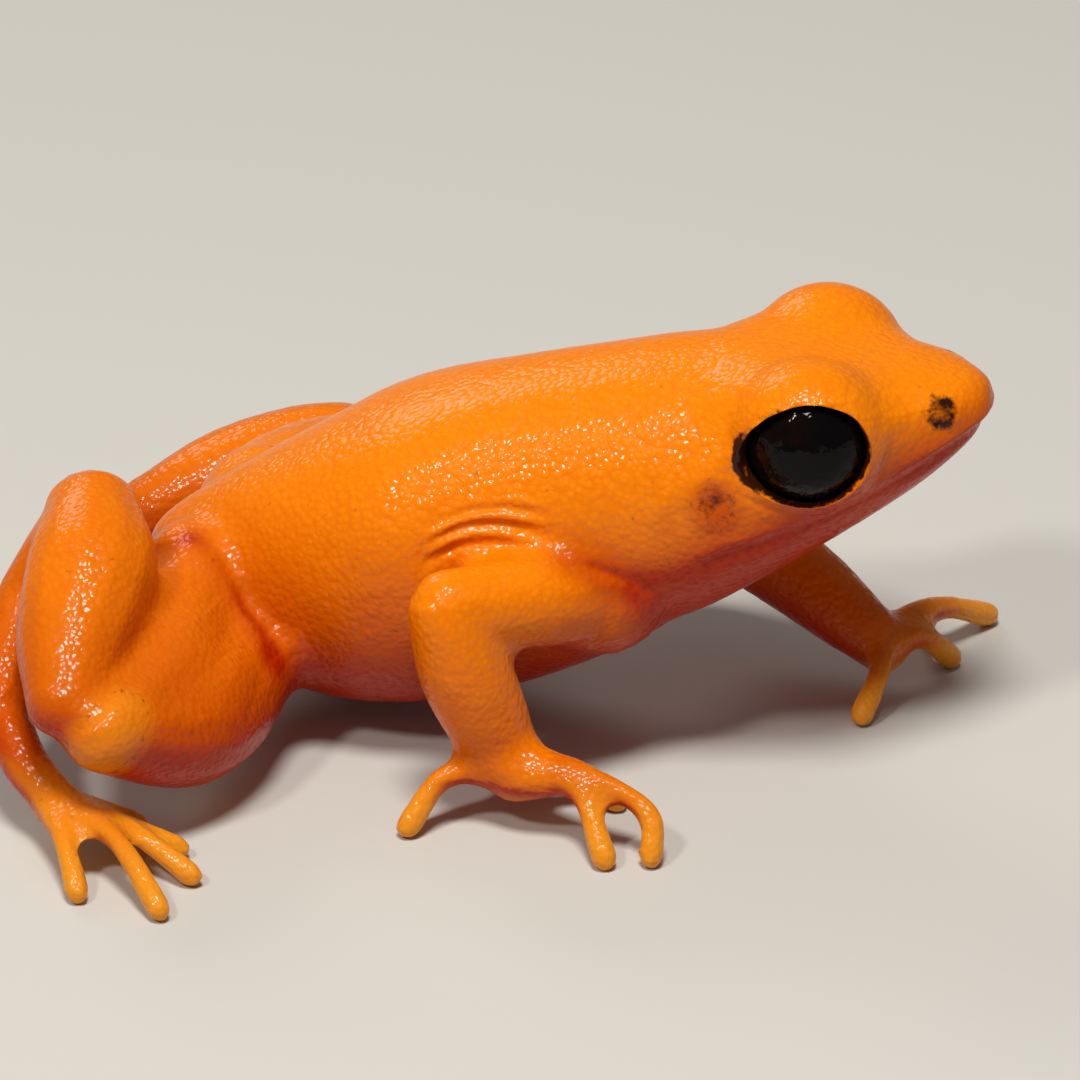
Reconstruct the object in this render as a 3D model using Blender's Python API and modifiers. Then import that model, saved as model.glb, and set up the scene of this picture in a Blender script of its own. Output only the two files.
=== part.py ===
"""Golden mantella, a still life-size model, in metres with +Z up.

The frog faces +X and its left side is +Y. It sits with the chest raised on its hands, the head
lifted and the hind legs folded in a Z beside the rump. The finger and toe tips stand on z = 0.
The flesh is modelled whole, then parted into its named pieces by thin cuts at the joints.
"""

import math

import bmesh
import bpy
import numpy as np
from mathutils import Matrix, Vector
from mathutils.bvhtree import BVHTree

MM = 0.001

# Driving sizes, in millimetres.
SNOUT_X = 12.45            # front of the snout
VENT_X = -10.4             # rear end of the rump
EYE_RADIUS = 1.62
EYE_CENTRE = (7.8, 2.35, 10.12)
EYE_GAP = 0.2              # between the eyeball and its socket
LID_THICKNESS = 0.26
BULGE_STRETCH = 1.04       # the eye bulge is this much longer than it is high
LID_SLIT = (1.96, 1.56)    # half length and half height of the eye opening
SLIT_REACH = 1.7           # half depth of the cut that makes it
SLIT_SHIFT = (0.05, 1.9, -0.02)  # from the eye's centre, outwards in the second number
SLIT_LEAN = (-8, -14)      # degrees it tips outwards and forwards
ALMOND = 0.2               # how much the eye opening narrows towards its rear corner
BROW = (2.75, 1.85, 1.75)  # half sizes of the low swelling that carries each eye bulge
BROW_SHIFT = (-0.1, -0.6)  # its centre from the eye's, along and outwards
PART_GAP = 0.3             # width of the thin cuts between the pieces
FINGER_RADIUS = 0.36
TOE_RADIUS = 0.34
TIP_SWELL = 1.15           # finger and toe ends are slightly wider than their stems
VOXEL = 0.16
TRIANGLES = {
    "head": 3600,
    "torso": 2200,
    "upper_arm": 260,
    "forearm": 280,
    "hand": 900,
    "thigh": 480,
    "shank": 420,
    "tarsus": 200,
    "foot": 900,
}

# Trunk and head stations, snout to vent: x, top z, bottom z, half width, z of the widest level,
# squareness of the upper half, squareness of the lower half.
STATIONS = (
    (SNOUT_X, 10.72, 10.05, 0.40, 10.35, 2.0, 2.0),
    (12.20, 10.98, 9.62, 0.98, 10.20, 2.1, 2.0),
    (11.60, 11.22, 8.95, 1.58, 9.90, 2.4, 2.0),
    (10.70, 11.42, 8.12, 2.20, 9.50, 2.7, 2.0),
    (9.60, 11.55, 7.28, 2.78, 9.05, 2.8, 2.0),
    (8.40, 11.62, 6.42, 3.22, 8.60, 2.7, 2.0),
    (7.00, 11.72, 5.42, 3.58, 8.10, 2.5, 2.0),
    (5.50, 11.65, 4.40, 3.78, 7.60, 2.3, 2.0),
    (4.00, 11.38, 3.45, 3.80, 7.00, 2.2, 2.0),
    (2.00, 10.95, 2.25, 3.82, 6.30, 2.2, 2.0),
    (0.00, 10.48, 1.35, 3.95, 5.60, 2.2, 2.0),
    (-2.30, 9.82, 0.78, 4.20, 5.00, 2.3, 2.1),
    (-3.90, 9.18, 0.62, 4.15, 4.70, 2.3, 2.1),
    (-5.40, 8.35, 0.68, 3.75, 4.40, 2.1, 2.1),
    (-7.40, 7.15, 1.10, 2.90, 4.20, 2.0, 2.0),
    (-9.00, 6.10, 2.05, 1.95, 4.15, 2.0, 2.0),
    (-10.0, 5.35, 3.15, 1.15, 4.25, 2.0, 2.0),
    (VENT_X, 4.85, 3.90, 0.45, 4.40, 2.0, 2.0),
)

# Limb lines, each point as x, distance out from the middle, z, radius.
ARMS = {
    "right": {
        "side": -1,
        "shoulder_cut": {"centre": (1.2, 4.3, 5.6), "normal": (-0.06, 1, 0), "half_size": (3.0, 2.3)},
        "upper_arm": ((2.4, 2.6, 5.2, 1.75), (0.8, 4.3, 5.75, 1.35), (-1.25, 5.9, 6.05, 1.12)),
        "forearm": ((-1.3, 5.9, 6.05, 1.15), (-0.85, 5.95, 4.3, 1.28), (-0.05, 5.8, 2.3, 1.12)),
        "palm": ((-0.05, 5.8, 2.3, 1.08), (0.5, 6.15, 1.6, 0.95)),
        "fingers": (
            ((0.3, 5.8, 1.5, 0.6), (2.0, 5.1, 1.1), (3.1, 5.2, 0.30)),
            ((0.8, 6.3, 1.7, 0.75), (2.6, 6.9, 1.9), (4.25, 7.5, 1.25), (4.4, 8.1, 0.30)),
            ((0.8, 6.5, 1.6, 0.75), (2.3, 7.1, 1.65), (3.2, 8.4, 0.30)),
            ((0.0, 6.1, 1.6, 0.6), (-1.35, 6.6, 1.45), (-2.2, 7.4, 0.30)),
        ),
    },
    "left": {
        "side": 1,
        "shoulder_cut": {"centre": (2.9, 4.1, 4.7), "normal": (0.2, 1, -0.2), "half_size": (2.5, 2.3)},
        "upper_arm": ((2.2, 2.6, 5.2, 1.75), (3.2, 4.2, 4.6, 1.35), (4.6, 4.9, 3.5, 1.12)),
        "forearm": ((4.6, 4.9, 3.5, 1.12), (6.8, 4.0, 2.75, 1.18), (8.8, 2.9, 1.75, 0.98)),
        "palm": ((8.8, 2.9, 1.75, 0.95), (9.4, 2.8, 1.25, 0.8)),
        "fingers": (
            ((9.3, 2.6, 1.3, 0.6), (9.5, 1.6, 1.2), (9.1, 0.5, 0.30)),
            ((9.5, 2.8, 1.3, 0.6), (10.4, 3.3, 1.4), (11.2, 4.2, 0.30)),
            ((9.4, 3.0, 1.3, 0.6), (10.6, 4.8, 1.5), (12.0, 6.9, 0.30)),
            ((9.4, 3.1, 1.3, 0.6), (10.1, 4.5, 1.4), (10.3, 6.0, 0.30)),
        ),
    },
}
LEGS = {
    "right": {
        "side": -1,
        "hip_cut": {"centre": (-7.9, 3.4, 3.5), "normal": (-0.39, 0.92, -0.2), "half_size": (3.0, 3.2)},
        "knee_cut": {"beyond": 1.5, "inwards": 7.2, "half_width": 2.0, "rise": 0.2},
        "heel_cut": {"beyond": 1.7, "inwards": 5.8, "half_width": 1.8, "rise": 0.0},
        "thigh": (
            (-7.4, 1.8, 2.9, 1.7), (-7.55, 4.5, 2.5, 1.65), (-8.3, 7.0, 2.55, 1.6), (-9.9, 9.5, 3.7, 1.15)
        ),
        "thigh_top": (
            (-8.9, 1.8, 4.6, 1.5), (-9.0, 4.5, 3.9, 1.5), (-9.2, 7.0, 3.4, 1.5), (-9.9, 9.5, 3.75, 1.2)
        ),
        "shank": (
            (-11.0, 9.2, 4.4, 1.1), (-11.1, 7.3, 5.2, 1.6), (-11.0, 5.2, 6.2, 1.82), (-11.3, 3.5, 6.9, 1.4)
        ),
        "tarsus": ((-11.8, 3.3, 6.5, 1.0), (-13.1, 3.9, 4.5, 0.85), (-13.3, 6.4, 3.0, 0.75)),
        "sole": ((-13.3, 6.4, 3.0, 0.75), (-12.5, 8.0, 2.0, 0.68), (-11.2, 9.2, 1.2, 0.64)),
        "toes": (
            ((-11.3, 8.9, 1.15, 0.5), (-10.2, 8.5, 0.8), (-9.3, 8.3, 0.30)),
            ((-11.2, 9.1, 1.15, 0.5), (-9.5, 9.3, 0.85), (-8.0, 9.4, 0.30)),
            ((-11.1, 9.2, 1.2, 0.5), (-9.1, 10.0, 1.05), (-7.4, 10.8, 0.30)),
            ((-11.2, 9.3, 1.2, 0.5), (-9.4, 10.9, 1.3), (-7.9, 12.7, 0.30)),
            ((-11.5, 9.2, 1.2, 0.5), (-10.8, 10.8, 1.15), (-10.2, 12.1, 0.30)),
        ),
    },
    "left": {
        "side": 1,
        "hip_cut": {"centre": (-7.1, 3.5, 4.5), "normal": (-0.25, 0.96, 0), "half_size": (3.3, 3.3)},
        "knee_cut": {"beyond": 1.9, "inwards": 4.6, "half_width": 2.2, "rise": 0.0},
        "heel_cut": {"beyond": 1.7, "inwards": 3.0, "half_width": 1.8, "rise": 0.0},
        "thigh": (
            (-7.6, 1.9, 4.1, 1.85), (-7.0, 3.9, 4.0, 1.8), (-6.1, 6.2, 3.8, 1.6), (-4.9, 8.4, 3.3, 1.2)
        ),
        "thigh_top": (
            (-7.9, 1.9, 4.9, 1.6), (-7.2, 3.9, 4.6, 1.6), (-6.2, 6.2, 4.1, 1.45), (-4.9, 8.4, 3.35, 1.2)
        ),
        "shank": (
            (-4.9, 8.7, 3.2, 1.15), (-6.9, 8.5, 3.2, 1.55), (-9.4, 7.6, 2.8, 1.5), (-11.6, 6.4, 2.15, 1.15)
        ),
        "tarsus": ((-11.9, 6.5, 1.8, 0.95), (-12.3, 8.2, 1.3, 0.8), (-11.6, 9.8, 1.1, 0.72)),
        "sole": ((-11.6, 9.8, 1.1, 0.72), (-10.6, 11.0, 1.05, 0.7), (-9.5, 11.8, 1.05, 0.68)),
        "toes": (
            ((-9.8, 11.4, 1.05, 0.5), (-8.7, 11.0, 0.95), (-7.9, 10.8, 0.30)),
            ((-9.6, 11.6, 1.05, 0.5), (-8.0, 12.0, 1.1), (-6.7, 12.3, 0.30)),
            ((-9.5, 11.8, 1.05, 0.5), (-7.6, 13.0, 1.2), (-6.2, 13.9, 0.30)),
            ((-9.6, 11.9, 1.05, 0.55), (-8.0, 13.8, 1.3), (-6.5, 15.5, 0.30)),
            ((-9.9, 11.9, 1.05, 0.5), (-9.4, 13.5, 1.15), (-8.9, 14.8, 0.30)),
        ),
    },
}

# The mouth line seen from the side: x, z from the snout to the corner of the mouth.
MOUTH_LINE = ((12.6, 10.02), (11.6, 9.62), (10.0, 8.85), (8.4, 8.12), (6.8, 7.45), (5.7, 7.05), (5.3, 6.7))
MOUTH_WIDTH = 0.17
MOUTH_DEPTH = 0.16
MOUTH_RUN_OUT = 0.6        # how far behind its last point the mouth line fades away
LIP_RISE = 0.32            # the upper lip's swelling above the mouth line
LIP_HEIGHT = 0.064
NOSTRIL = (11.3, 1.3, 10.55)
NOSTRIL_SIZE = 0.2
NOSTRIL_DEPTH = 0.28
NOSTRIL_RIM = 0.05
NOSTRIL_RING = 0.34        # the rim's distance from the middle of the nostril
EARDRUM = (5.5, 3.75, 8.75)
EARDRUM_SIZE = 0.6
EARDRUM_RING = 0.08
EARDRUM_RIM = 0.16
FOLDS = (
    {
        "line": ((-2.2, 4.2, 6.6), (-1.3, 4.2, 7.3), (-0.2, 4.0, 7.6), (1.0, 3.8, 7.25)),
        "height": -0.16,
        "width": 0.25,
    },
    {"line": ((-2.0, 4.2, 7.1), (-1.0, 4.1, 7.8), (0.2, 3.9, 8.05)), "height": 0.10, "width": 0.3},
    {
        "line": ((6.4, 3.4, 9.9), (5.4, 3.6, 9.75), (4.5, 3.8, 9.1), (4.1, 3.8, 8.2)),
        "height": 0.08,
        "width": 0.3,
    },
)

# Cuts at the joints.
NECK = {"centre": (4.45, 0, 7.5), "normal": (1, 0, -0.12), "half_size": (4.4, 4.7)}
ELBOW_CUT = 1.95
ELBOW_SHIFT = 0.35
WRIST_CUT = 1.6
ANKLE_CUT = 1.0

SKIN_COLOUR = (0.85, 0.27, 0.01, 1.0)
EYE_COLOUR = (0.012, 0.010, 0.010, 1.0)


def clear_scene():
    for old in list(bpy.data.objects):
        bpy.data.objects.remove(old, do_unlink=True)


def make_collection(name, hidden=False):
    collection = bpy.data.collections.new(name)
    bpy.context.scene.collection.children.link(collection)
    collection.hide_render = hidden
    return collection


def make_material(name, colour, roughness):
    material = bpy.data.materials.new(name)
    material.use_nodes = True
    shader = material.node_tree.nodes["Principled BSDF"]
    shader.inputs["Base Color"].default_value = colour
    shader.inputs["Roughness"].default_value = roughness
    shader.inputs["Metallic"].default_value = 0.0
    material.diffuse_color = colour
    return material


def add_object(name, mesh, collection):
    made = bpy.data.objects.new(name, mesh)
    collection.objects.link(made)
    return made


def baked_mesh(source):
    """The object's mesh with its modifiers applied."""
    bpy.context.view_layer.update()
    graph = bpy.context.evaluated_depsgraph_get()
    return bpy.data.meshes.new_from_object(source.evaluated_get(graph))


def apply_modifiers(target):
    mesh = baked_mesh(target)
    target.modifiers.clear()
    target.data = mesh


def sample_curve(points, steps):
    """Catmull-Rom samples through rows of numbers, steps to each stretch."""
    rows = [np.array(point, float) for point in points]
    rows = [2 * rows[0] - rows[1], *rows, 2 * rows[-1] - rows[-2]]
    samples = []
    for before, start, end, after in zip(rows, rows[1:], rows[2:], rows[3:]):
        for step in range(steps):
            t = step / steps
            samples.append(
                0.5 * (2 * start + (end - before) * t + (2 * before - 5 * start + 4 * end - after) * t**2
                       + (3 * start - before - 3 * end + after) * t**3)
            )
    samples.append(rows[-2])
    return samples


def section_point(station, turn):
    """A point of the trunk's section: a superellipse with its own top and bottom."""
    x, top, bottom, half_width, widest, upper_power, lower_power = station
    power = upper_power if math.sin(turn) >= 0 else lower_power
    across = math.copysign(abs(math.cos(turn)) ** (2 / power), math.cos(turn))
    up = math.copysign(abs(math.sin(turn)) ** (2 / power), math.sin(turn))
    height = top - widest if up >= 0 else widest - bottom
    return Vector((x, half_width * across, widest + height * up)) * MM


def make_trunk():
    """Head and trunk as one loft through the stations."""
    around = 40
    shape = bmesh.new()
    rings = []
    for station in sample_curve(STATIONS, 4):
        ring = [shape.verts.new(section_point(station, math.tau * step / around)) for step in range(around)]
        rings.append(ring)
    for ring, following in zip(rings, rings[1:]):
        for step in range(around):
            after = (step + 1) % around
            shape.faces.new((ring[step], following[step], following[after], ring[after]))
    shape.faces.new(list(reversed(rings[0])))
    shape.faces.new(rings[-1])
    bmesh.ops.recalc_face_normals(shape, faces=shape.faces)
    mesh = bpy.data.meshes.new("trunk_loft")
    shape.to_mesh(mesh)
    shape.free()
    return mesh


def make_tube(points, helpers):
    """A tapered round tube with rounded ends, through rows of x, y, z, radius in millimetres."""
    samples = sample_curve(points, 6)
    first, last = samples[0], samples[-1]
    rows = []
    for share in (0.97, 0.8, 0.45):
        rows.append(end_row(samples[1], first, share))
    rows += samples
    for share in (0.45, 0.8, 0.97):
        rows.append(end_row(samples[-2], last, share))
    data = bpy.data.curves.new("limb_line", "CURVE")
    data.dimensions = "3D"
    data.bevel_depth = MM
    data.bevel_resolution = 4
    data.use_fill_caps = True
    spline = data.splines.new("POLY")
    spline.points.add(len(rows) - 1)
    for point, row in zip(spline.points, rows):
        point.co = (row[0] * MM, row[1] * MM, row[2] * MM, 1)
        point.radius = row[3]
    curve = add_object("limb_line", data, helpers)
    mesh = baked_mesh(curve)
    bpy.data.objects.remove(curve)
    shape = bmesh.new()
    shape.from_mesh(mesh)
    bmesh.ops.remove_doubles(shape, verts=shape.verts, dist=1e-7)
    bmesh.ops.recalc_face_normals(shape, faces=shape.faces)
    shape.to_mesh(mesh)
    shape.free()
    return mesh


def end_row(inner, end, share):
    """A row beyond the end of a tube, where its rounded cap has run out by this share of its radius."""
    direction = end[:3] - inner[:3]
    direction = direction / np.linalg.norm(direction)
    place = end[:3] + direction * end[3] * share
    return np.array([*place, end[3] * math.sqrt(1 - share**2)])


def on_side(points, side):
    return [(point[0], point[1] * side, *point[2:]) for point in points]


def digit_rows(rows, radius):
    """Adds the radii of a finger or toe: stout at the root, slim along it and swollen at the tip."""
    root, *middle, tip = rows
    full = [root]
    for x, out, z in middle:
        full.append((x, out, z, radius))
    full.append((tip[0], tip[1], tip[2], radius * TIP_SWELL))
    return full


def limb_meshes(helpers):
    meshes = []
    for limbs, long_parts, digits, radius in (
        (ARMS, ("upper_arm", "forearm", "palm"), "fingers", FINGER_RADIUS),
        (LEGS, ("thigh", "thigh_top", "shank", "tarsus", "sole"), "toes", TOE_RADIUS),
    ):
        for limb in limbs.values():
            for part in long_parts:
                meshes.append(make_tube(on_side(limb[part], limb["side"]), helpers))
            for digit in limb[digits]:
                meshes.append(make_tube(on_side(digit_rows(digit, radius), limb["side"]), helpers))
    return meshes


def ball_mesh(centre, radii, segments=40, rings=24, turn=None):
    shape = bmesh.new()
    bmesh.ops.create_uvsphere(shape, u_segments=segments, v_segments=rings, radius=1)
    size = Matrix.Diagonal((*[radius * MM for radius in radii], 1))
    place = Matrix.Translation(Vector(centre) * MM) @ (turn or Matrix.Identity(4)) @ size
    bmesh.ops.transform(shape, matrix=place, verts=shape.verts)
    mesh = bpy.data.meshes.new("ball")
    shape.to_mesh(mesh)
    shape.free()
    return mesh


def eye_place(side):
    x, out, z = EYE_CENTRE
    return (x, out * side, z)


def join_meshes(meshes):
    shape = bmesh.new()
    for mesh in meshes:
        shape.from_mesh(mesh)
        bpy.data.meshes.remove(mesh)
    joined = bpy.data.meshes.new("flesh")
    shape.to_mesh(joined)
    shape.free()
    return joined


def fuse_flesh(helpers):
    """Trunk, limbs and eye bulges as one closed, smoothed body."""
    meshes = [make_trunk(), *limb_meshes(helpers)]
    bulge = EYE_RADIUS + EYE_GAP + LID_THICKNESS
    for side in (-1, 1):
        x, y, z = eye_place(side)
        meshes.append(ball_mesh((x, y, z), (bulge * BULGE_STRETCH, bulge, bulge)))
        meshes.append(ball_mesh((x + BROW_SHIFT[0], y + side * BROW_SHIFT[1], z), BROW))
    flesh = add_object("flesh", join_meshes(meshes), helpers)
    remesh = flesh.modifiers.new("fuse", "REMESH")
    remesh.mode = "VOXEL"
    remesh.voxel_size = VOXEL * MM
    smooth = flesh.modifiers.new("soften", "SMOOTH")
    smooth.factor = 0.5
    smooth.iterations = 9
    apply_modifiers(flesh)
    return flesh


def line_distance(places, line):
    """Distance of each place from a line of points, in as many directions as the points have."""
    nearest = np.full(len(places), 1e9)
    for start, end in zip(line, line[1:]):
        start, end = np.array(start, float), np.array(end, float)
        along = end - start
        share = np.clip((places - start) @ along / (along @ along), 0, 1)
        gap = np.linalg.norm(places - start - share[:, None] * along, axis=1)
        nearest = np.minimum(nearest, gap)
    return nearest


def shape_face(flesh):
    """Presses in the mouth line, nostrils, eardrums and arm creases, and raises the lips and folds."""
    mesh = flesh.data
    count = len(mesh.vertices)
    places = np.empty(count * 3)
    normals = np.empty(count * 3)
    mesh.vertices.foreach_get("co", places)
    mesh.vertices.foreach_get("normal", normals)
    places = places.reshape(-1, 3) / MM
    normals = normals.reshape(-1, 3)
    shift = np.zeros(count)
    side_view = places[:, (0, 2)]
    head = places[:, 0] > MOUTH_LINE[-1][0] - MOUTH_RUN_OUT
    mouth = line_distance(side_view, sample_curve(MOUTH_LINE, 4))
    lip = line_distance(side_view, sample_curve([(x, z + LIP_RISE) for x, z in MOUTH_LINE], 4))
    shift -= head * MOUTH_DEPTH * np.exp(-((mouth / MOUTH_WIDTH) ** 2))
    shift += head * LIP_HEIGHT * np.exp(-((lip / MOUTH_WIDTH) ** 2))
    mirrored = places * (1, 0, 1)
    mirrored[:, 1] = abs(places[:, 1])
    nostril = np.linalg.norm(mirrored - NOSTRIL, axis=1)
    shift += NOSTRIL_RIM * np.exp(-(((nostril - NOSTRIL_RING) / NOSTRIL_SIZE) ** 2))
    shift -= NOSTRIL_DEPTH * np.exp(-((nostril / NOSTRIL_SIZE) ** 2))
    eardrum = np.linalg.norm(mirrored - EARDRUM, axis=1)
    shift += EARDRUM_RING * np.exp(-(((eardrum - EARDRUM_SIZE) / EARDRUM_RIM) ** 2))
    for fold in FOLDS:
        gap = line_distance(mirrored, sample_curve(fold["line"], 4))
        shift += fold["height"] * np.exp(-((gap / fold["width"]) ** 2))
    places += normals * shift[:, None]
    mesh.vertices.foreach_set("co", (places * MM).reshape(-1))
    mesh.update()


def thin_out(target, triangles):
    count = sum(len(face.vertices) - 2 for face in target.data.polygons)
    decimate = target.modifiers.new("thin", "DECIMATE")
    decimate.ratio = min(1, triangles / count)
    decimate.use_collapse_triangulate = True
    apply_modifiers(target)
    drop_flaps(target.data)


def drop_flaps(mesh):
    """Deletes the loose triangles that thinning can leave hanging from one edge."""
    shape = bmesh.new()
    shape.from_mesh(mesh)
    flaps = [face for face in shape.faces if sum(edge.is_boundary for edge in face.edges) == 2]
    bmesh.ops.delete(shape, geom=flaps, context="FACES")
    shape.to_mesh(mesh)
    shape.free()


def cutter_object(mesh, cutters):
    cutter = add_object("cutter", mesh, cutters)
    cutter.hide_render = True
    cutter.display_type = "WIRE"
    return cutter


def cut(target, meshes, cutters):
    for mesh in meshes:
        cutter = cutter_object(mesh, cutters)
        boolean = target.modifiers.new("cut", "BOOLEAN")
        boolean.operation = "DIFFERENCE"
        boolean.solver = "MANIFOLD"
        boolean.object = cutter
        apply_modifiers(target)
        bpy.data.objects.remove(cutter)


def eye_openings():
    """The round socket of each eye and the almond slit between its lids."""
    socket = EYE_RADIUS + EYE_GAP
    meshes = []
    for side in (-1, 1):
        x, y, z = eye_place(side)
        meshes.append(ball_mesh((x, y, z), (socket, socket, socket), 32, 20))
        outwards, forwards = (math.radians(angle) for angle in SLIT_LEAN)
        lean = Matrix.Rotation(forwards, 4, "Y") @ Matrix.Rotation(outwards * side, 4, "X")
        centre = (x + SLIT_SHIFT[0], y + side * SLIT_SHIFT[1], z + SLIT_SHIFT[2])
        slit = ball_mesh(centre, (LID_SLIT[0], SLIT_REACH, LID_SLIT[1]), 32, 20, lean)
        narrow_behind(slit, Matrix.Translation(Vector(centre) * MM) @ lean)
        meshes.append(slit)
    return meshes


def narrow_behind(slit, place):
    """Draws the rear end of an eye opening to a narrower corner."""
    slit.transform(place.inverted())
    for point in slit.vertices:
        behind = max(0, -point.co.x / (LID_SLIT[0] * MM))
        point.co.z *= 1 - ALMOND * behind
    slit.transform(place)


def floor_cut():
    shape = bmesh.new()
    bmesh.ops.create_cube(shape, size=1)
    size = Matrix.Diagonal((60 * MM, 60 * MM, 10 * MM, 1))
    bmesh.ops.transform(shape, matrix=Matrix.Translation((0, 0, -5 * MM)) @ size, verts=shape.verts)
    mesh = bpy.data.meshes.new("floor_cut")
    shape.to_mesh(mesh)
    shape.free()
    return mesh


def disc_cut(centre, normal, half_width, half_height=None):
    """A thin elliptic disc across a joint."""
    shape = bmesh.new()
    bmesh.ops.create_cone(shape, cap_ends=True, segments=28, radius1=1, radius2=1, depth=1)
    size = Matrix.Diagonal((half_width * MM, (half_height or half_width) * MM, PART_GAP * MM, 1))
    normal = Vector(normal).normalized()
    level = Vector((0, 0, 1)).cross(normal)
    if level.length < 0.1:
        level = Vector((0, 1, 0))
    level.normalize()
    turn = Matrix((level, normal.cross(level), normal)).transposed().to_4x4()
    place = Matrix.Translation(Vector(centre) * MM)
    bmesh.ops.transform(shape, matrix=place @ turn @ size, verts=shape.verts)
    mesh = bpy.data.meshes.new("disc_cut")
    shape.to_mesh(mesh)
    shape.free()
    return mesh


def side_disc(sizes, side):
    return disc_cut(mirror(sizes["centre"], side), mirror(sizes["normal"], side), *sizes["half_size"])


def fold_cut(joint, first, second, beyond, inwards, half_width, rise):
    """A thin plate between two limb parts that lie against each other, from beyond their joint inwards."""
    contact = Vector(first[:3]).lerp(Vector(second[:3]), first[3] / (first[3] + second[3]))
    joint, first, second = Vector(joint[:3]), Vector(first[:3]), Vector(second[:3])
    along = (contact - joint).normalized()
    normal = second - first
    normal = (normal - along * normal.dot(along)).normalized()
    middle = joint + along * (inwards - beyond) / 2 + Vector((0, 0, rise))
    shape = bmesh.new()
    bmesh.ops.create_cube(shape, size=1)
    size = Matrix.Diagonal(((inwards + beyond) * MM, 2 * half_width * MM, PART_GAP * MM, 1))
    turn = Matrix((along, normal.cross(along), normal)).transposed().to_4x4()
    bmesh.ops.transform(shape, matrix=Matrix.Translation(middle * MM) @ turn @ size, verts=shape.verts)
    mesh = bpy.data.meshes.new("fold_cut")
    shape.to_mesh(mesh)
    shape.free()
    return mesh


def joint_cuts():
    """The thin cuts that part the flesh: across the neck, each shoulder, elbow, wrist, hip and ankle, and
    along the fold of each knee and heel."""
    meshes = [disc_cut(NECK["centre"], NECK["normal"], *NECK["half_size"])]
    for arm in ARMS.values():
        side = arm["side"]
        upper, fore = on_side(arm["upper_arm"], side), on_side(arm["forearm"], side)
        meshes.append(side_disc(arm["shoulder_cut"], side))
        into = (Vector(upper[-1][:3]) - Vector(upper[-2][:3])).normalized()
        out = (Vector(fore[1][:3]) - Vector(fore[0][:3])).normalized()
        bend = Vector(fore[0][:3]) + (out - into).normalized() * ELBOW_SHIFT
        meshes.append(disc_cut(bend, into + out, ELBOW_CUT))
        wrist = Vector(fore[-1][:3])
        meshes.append(disc_cut(wrist, wrist - Vector(fore[-2][:3]), WRIST_CUT))
    for leg in LEGS.values():
        side = leg["side"]
        meshes.append(side_disc(leg["hip_cut"], side))
        thigh, shank, tarsus = (on_side(leg[part], side) for part in ("thigh_top", "shank", "tarsus"))
        meshes.append(fold_cut(middle_of(thigh[-1], shank[0]), thigh[1], shank[2], **leg["knee_cut"]))
        meshes.append(fold_cut(shank[-1], shank[1], tarsus[-1], **leg["heel_cut"]))
        ankle = Vector(tarsus[-1][:3])
        meshes.append(disc_cut(ankle, ankle - Vector(tarsus[-2][:3]), ANKLE_CUT))
    return meshes


def mirror(place, side):
    return (place[0], place[1] * side, place[2])


def middle_of(first, second):
    return [(a + b) / 2 for a, b in zip(first[:3], second[:3])]


def node_seeds():
    """A point well inside each piece of flesh, by the piece's name."""
    seeds = {"head": (9.0, 0, 9.0), "torso": (-1.0, 0, 5.5)}
    for side_name, arm in ARMS.items():
        side = arm["side"]
        seeds[f"upper_arm_{side_name}"] = mirror(middle_of(arm["upper_arm"][1], arm["upper_arm"][2]), side)
        seeds[f"forearm_{side_name}"] = mirror(arm["forearm"][1], side)
        seeds[f"hand_{side_name}"] = mirror(arm["palm"][1], side)
    for side_name, leg in LEGS.items():
        side = leg["side"]
        seeds[f"thigh_{side_name}"] = mirror(leg["thigh"][2], side)
        seeds[f"shank_{side_name}"] = mirror(leg["shank"][1], side)
        seeds[f"tarsus_{side_name}"] = mirror(middle_of(leg["tarsus"][1], leg["tarsus"][2]), side)
        seeds[f"foot_{side_name}"] = mirror(leg["sole"][1], side)
    return seeds


def loose_bodies(mesh):
    """Each connected body of a mesh as a mesh of its own, largest first."""
    shape = bmesh.new()
    shape.from_mesh(mesh)
    shape.faces.ensure_lookup_table()
    group_of = {}
    groups = []
    for face in shape.faces:
        if face.index in group_of:
            continue
        group = len(groups)
        groups.append([])
        waiting = [face]
        group_of[face.index] = group
        while waiting:
            current = waiting.pop()
            groups[group].append(current.index)
            for edge in current.edges:
                for neighbour in edge.link_faces:
                    if neighbour.index not in group_of:
                        group_of[neighbour.index] = group
                        waiting.append(neighbour)
    shape.free()
    bodies = []
    for group in sorted(groups, key=len, reverse=True):
        body = bmesh.new()
        body.from_mesh(mesh)
        body.faces.ensure_lookup_table()
        keep = set(group)
        unwanted = [face for face in body.faces if face.index not in keep]
        bmesh.ops.delete(body, geom=unwanted, context="FACES")
        made = bpy.data.meshes.new("body")
        body.to_mesh(made)
        body.free()
        bodies.append(made)
    return bodies


def holds(tree, place):
    """Whether a closed surface holds a place: a ray upwards leaves it an odd number of times."""
    crossings = 0
    start = Vector(place) * MM
    while True:
        hit = tree.ray_cast(start, Vector((0.01, 0.02, 1)).normalized())
        if hit[0] is None:
            return crossings % 2 == 1
        crossings += 1
        start = hit[0] + Vector((0.01, 0.02, 1)).normalized() * 1e-6


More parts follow.
